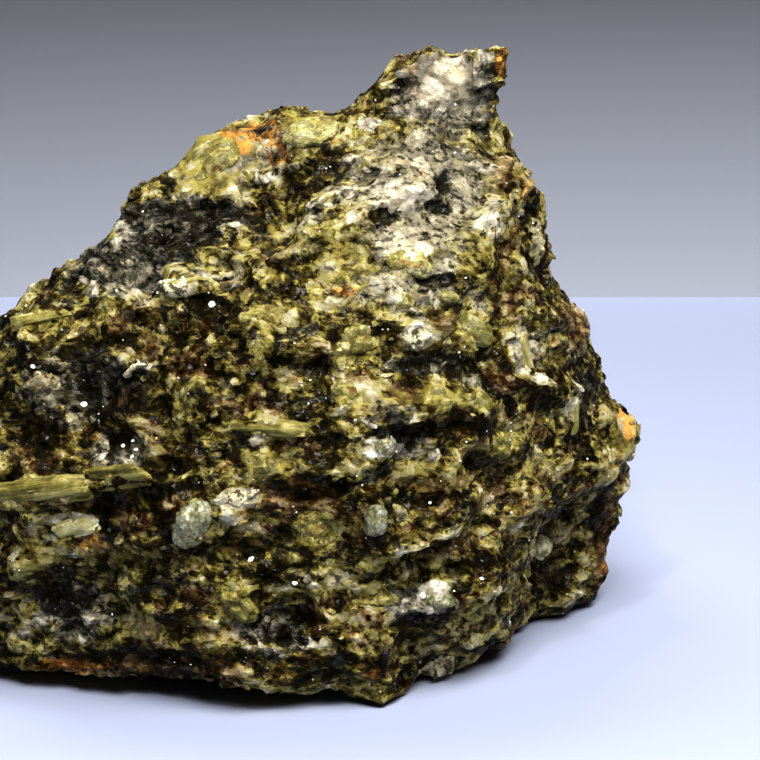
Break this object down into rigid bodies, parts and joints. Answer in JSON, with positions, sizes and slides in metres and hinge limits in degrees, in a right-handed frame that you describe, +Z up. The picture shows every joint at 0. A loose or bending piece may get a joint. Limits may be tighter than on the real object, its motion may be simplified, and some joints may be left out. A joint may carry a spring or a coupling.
{
  "type": "spodumene crystal specimen",
  "caption": "Rough hand specimen of spodumene-bearing rock, a broken sloping lump with a peaked top, olive and cream crystals and glassy grains.",
  "frame": {"origin": "middle of the underside of the specimen's own box, on the plane it rests on", "axes": "+X along its length to the right of its best side, +Y from the best side to the back, +Z up"},
  "size_m": [0.158, 0.1044, 0.1207],
  "materials": {
    "rock": "rough broken rock, olive, near-black and brown grains, partly wet-looking",
    "spodumene": "silky olive to yellow-green crystal with lengthwise striations",
    "feldspar": "cream to white cleavage faces",
    "quartz": "glassy grey-green, see-through at thin edges",
    "mica": "small bright reflecting flakes"
  },
  "bodies": {
    "root": {"spodumene_rock": "rock"}
  },
  "joints": []
}
